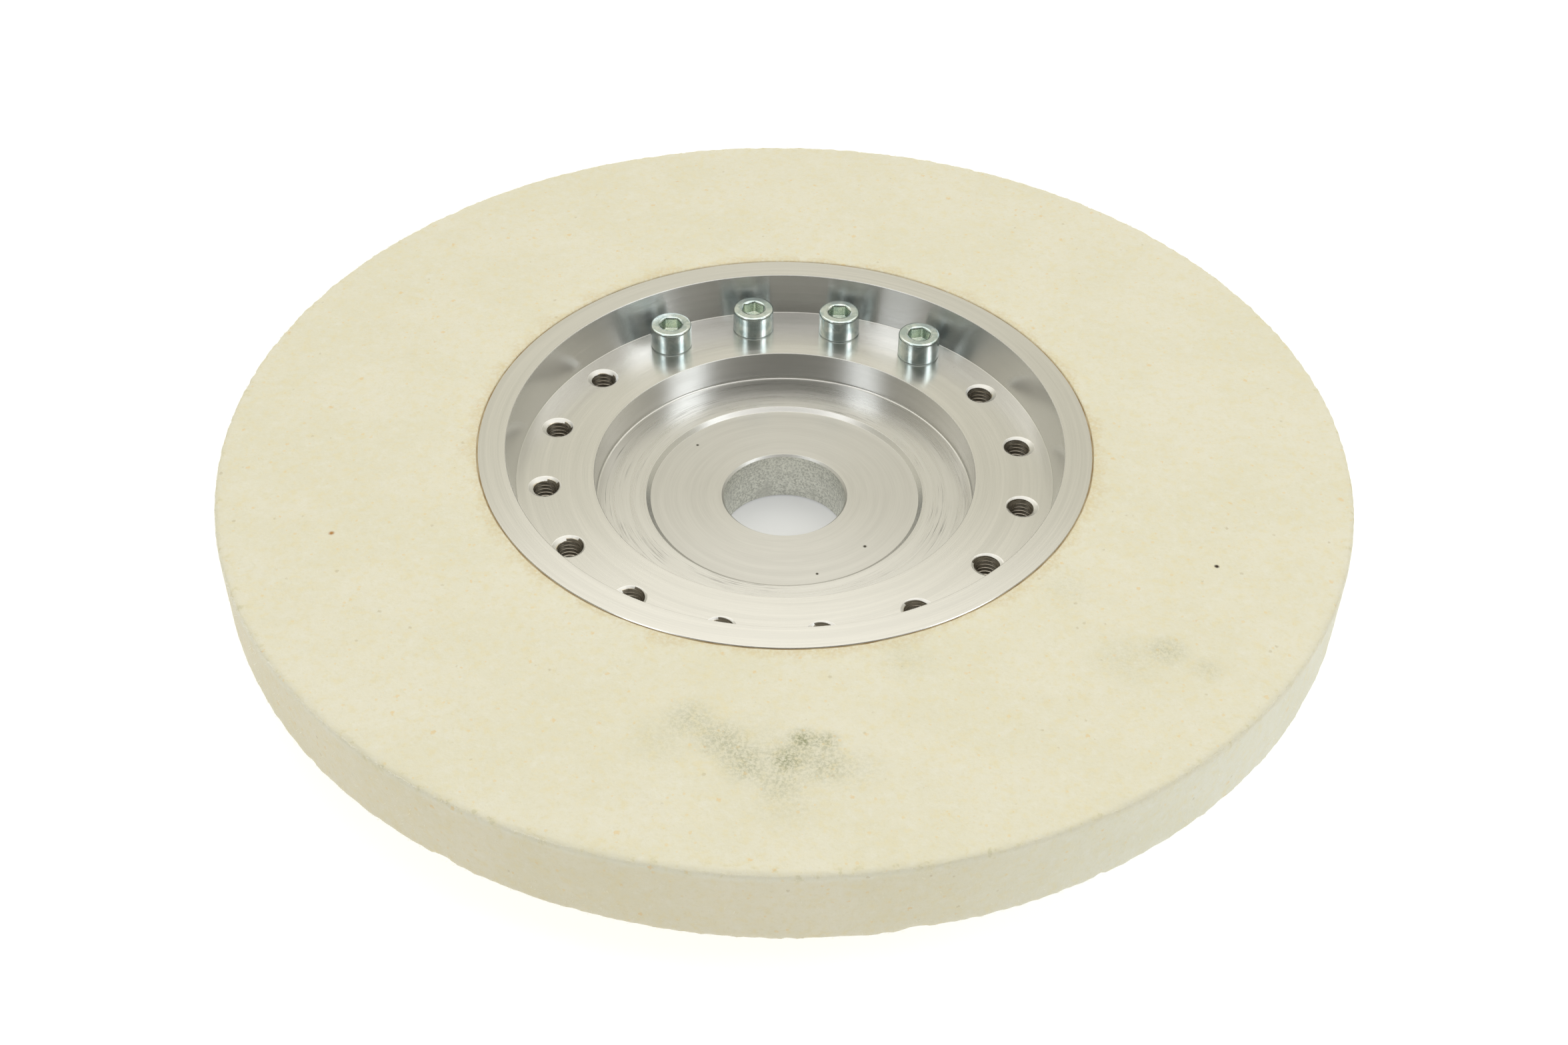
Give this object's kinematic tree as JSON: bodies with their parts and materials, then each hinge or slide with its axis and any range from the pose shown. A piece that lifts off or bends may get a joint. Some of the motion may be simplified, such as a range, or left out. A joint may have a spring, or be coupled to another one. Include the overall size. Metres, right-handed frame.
{
  "type": "felt polishing wheel",
  "caption": "Flat disc wheel with a dense felt ring bonded round a recessed aluminium hub that has a spindle bore, a ring of tapped holes and balance screws.",
  "frame": {"origin": "centre of the rear boss's face, which the wheel lies on", "axes": "+Z along the wheel's axis, from the rear boss towards the recessed front face"},
  "size_m": [0.25, 0.25, 0.031],
  "materials": {
    "turned_aluminium": "fine turned, satin",
    "adhesive": "cured amber resin",
    "felt": "dense pressed wool felt",
    "zinc_plated_steel": "bright zinc plate"
  },
  "bodies": {
    "wheel": {"hub": "turned_aluminium", "bond_line": "adhesive", "felt_ring": "felt"},
    "balance_screw_1": {"balance_screw_1": "zinc_plated_steel"},
    "balance_screw_2": {"balance_screw_2": "zinc_plated_steel"},
    "balance_screw_3": {"balance_screw_3": "zinc_plated_steel"},
    "balance_screw_4": {"balance_screw_4": "zinc_plated_steel"}
  },
  "joints": [
    {"name": "unscrew_1", "type": "slide", "parent": "wheel", "child": "balance_screw_1", "axis": [0, 0, 1], "range_m": [0, 0.02]},
    {"name": "unscrew_2", "type": "slide", "parent": "wheel", "child": "balance_screw_2", "axis": [0, 0, 1], "range_m": [0, 0.02]},
    {"name": "unscrew_3", "type": "slide", "parent": "wheel", "child": "balance_screw_3", "axis": [0, 0, 1], "range_m": [0, 0.02]},
    {"name": "unscrew_4", "type": "slide", "parent": "wheel", "child": "balance_screw_4", "axis": [0, 0, 1], "range_m": [0, 0.02]}
  ]
}
